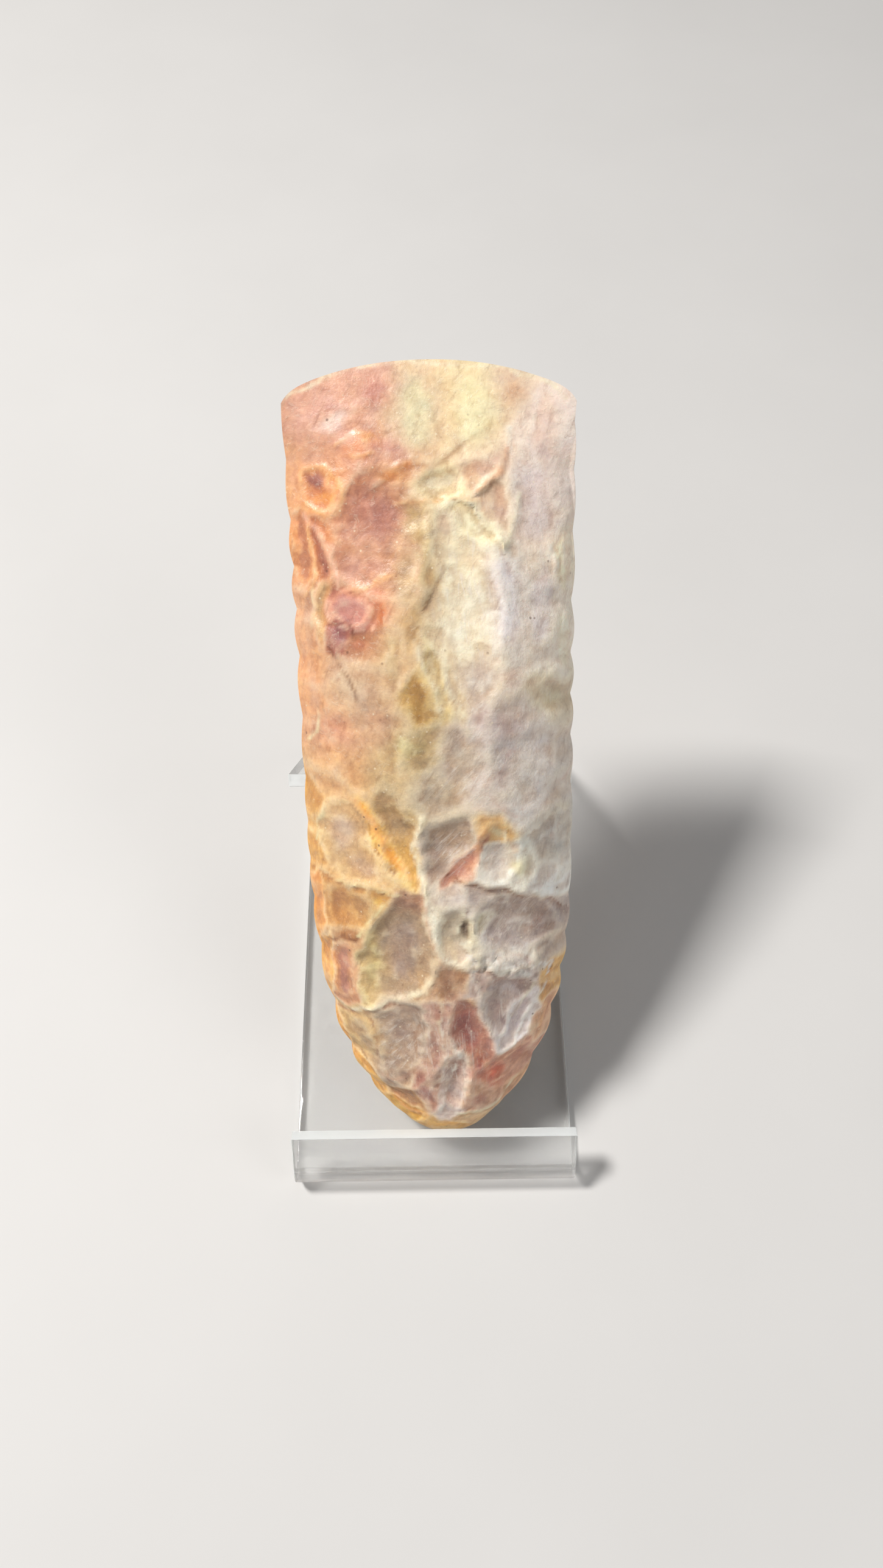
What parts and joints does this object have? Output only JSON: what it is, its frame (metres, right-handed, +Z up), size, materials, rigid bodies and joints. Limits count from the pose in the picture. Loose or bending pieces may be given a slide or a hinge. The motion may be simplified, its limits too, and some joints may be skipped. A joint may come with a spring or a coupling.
{
  "type": "polished flint axe on an acrylic display stand",
  "caption": "Ground and flaked stone axe blade with a curved cutting edge and a tapered butt, leaning on a clear stand bent from one sheet.",
  "frame": {"origin": "centre of the whole object's box at the stand's underside", "axes": "+Z up, +Y from the lip to the rear, +X to the right of someone who faces the lip"},
  "size_m": [0.0636, 0.1266, 0.1269],
  "materials": {
    "flint": "glossy, partly translucent, pink to cream and ochre patches",
    "clear_acrylic": "clear, polished, with bright cut edges"
  },
  "bodies": {
    "root": {"flint_axe": "flint", "acrylic_stand": "clear_acrylic"}
  },
  "joints": []
}
